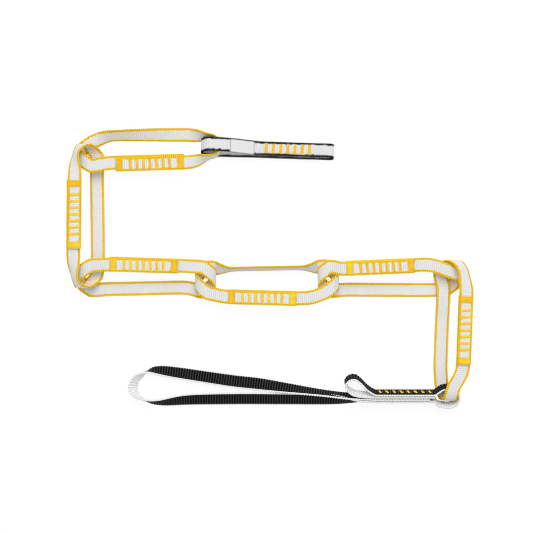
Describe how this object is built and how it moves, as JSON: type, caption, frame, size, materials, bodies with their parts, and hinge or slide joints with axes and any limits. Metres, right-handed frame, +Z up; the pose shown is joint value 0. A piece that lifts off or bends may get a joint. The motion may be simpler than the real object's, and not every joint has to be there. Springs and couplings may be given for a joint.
{
  "type": "climbing daisy chain",
  "caption": "Daisy chain of sewn tape links threaded through each other, with a carabiner end loop and a long two-eyed tape sling.",
  "frame": {"origin": "middle of the laid-out chain's box, on the floor", "axes": "+X along the long rows of the layout, towards the last link; +Y from the sling's row towards the end loop's row; +Z up"},
  "size_m": [0.3422, 0.2376, 0.0196],
  "materials": {
    "white_tape_yellow_edge": "white woven tape with fine cross ribs and yellow edges",
    "white_tape_black_edge": "white woven tape with fine cross ribs and black edges",
    "black_face_tape": "ribbed tape, black on its outer face and white on its inner face and edges",
    "yellow_thread": "dense zigzag bar tacks",
    "label_cloth": "smooth plain label cloth"
  },
  "bodies": {
    "end_loop": {"end_loop_bar_tacks": "yellow_thread", "end_loop_bobbin_thread": "yellow_thread", "end_loop_label": "label_cloth", "end_loop_tape": "white_tape_black_edge"},
    "link_1": {"link_1_bar_tacks": "yellow_thread", "link_1_bobbin_thread": "yellow_thread", "link_1_tack_end": "yellow_thread", "link_1_tack_start": "yellow_thread", "link_1_tape": "white_tape_yellow_edge"},
    "link_2": {"link_2_bar_tacks": "yellow_thread", "link_2_bobbin_thread": "yellow_thread", "link_2_tack_end": "yellow_thread", "link_2_tack_start": "yellow_thread", "link_2_tape": "white_tape_yellow_edge"},
    "link_3": {"link_3_bar_tacks": "yellow_thread", "link_3_bobbin_thread": "yellow_thread", "link_3_tack_end": "yellow_thread", "link_3_tack_start": "yellow_thread", "link_3_tape": "white_tape_yellow_edge"},
    "link_4": {"link_4_bar_tacks": "yellow_thread", "link_4_bobbin_thread": "yellow_thread", "link_4_tack_end": "yellow_thread", "link_4_tack_start": "yellow_thread", "link_4_tape": "white_tape_yellow_edge"},
    "link_5": {"link_5_bar_tacks": "yellow_thread", "link_5_bobbin_thread": "yellow_thread", "link_5_tack_end": "yellow_thread", "link_5_tack_start": "yellow_thread", "link_5_tape": "white_tape_yellow_edge"},
    "link_6": {"link_6_bar_tacks": "yellow_thread", "link_6_bobbin_thread": "yellow_thread", "link_6_tack_end": "yellow_thread", "link_6_tack_start": "yellow_thread", "link_6_tape": "white_tape_yellow_edge"},
    "sling": {"sling_bar_tacks": "yellow_thread", "sling_bobbin_thread": "yellow_thread", "sling_tape": "black_face_tape"}
  },
  "joints": [
    {"name": "joint_3", "type": "hinge", "parent": "link_3", "child": "link_2", "pos_m": [-0.1564, -0.0084, 0], "axis": [0, 0, 1], "range_deg": [-6, 45]},
    {"name": "joint_2", "type": "hinge", "parent": "link_2", "child": "link_1", "pos_m": [-0.15568, 0.09611, 0], "axis": [0, 0, 1], "range_deg": [-8, 45]},
    {"name": "joint_1", "type": "hinge", "parent": "link_1", "child": "end_loop", "pos_m": [-0.04923, 0.10188, 0], "axis": [0, 0, 1], "range_deg": [-8, 8]},
    {"name": "joint_4", "type": "hinge", "parent": "link_3", "child": "link_4", "pos_m": [-0.05398, -0.01001, 0], "axis": [0, 0, 1], "range_deg": [-4, 30]},
    {"name": "joint_5", "type": "hinge", "parent": "link_4", "child": "link_5", "pos_m": [0.04971, -0.00911, 0], "axis": [0, 0, 1], "range_deg": [-6, 45]},
    {"name": "joint_6", "type": "hinge", "parent": "link_5", "child": "link_6", "pos_m": [0.15473, -0.00746, 0], "axis": [0, 0, 1], "range_deg": [-9, 3]},
    {"name": "joint_7", "type": "hinge", "parent": "link_6", "child": "sling", "pos_m": [0.15091, -0.10691, 0], "axis": [0, 0, -1], "range_deg": [-45, 9]}
  ]
}
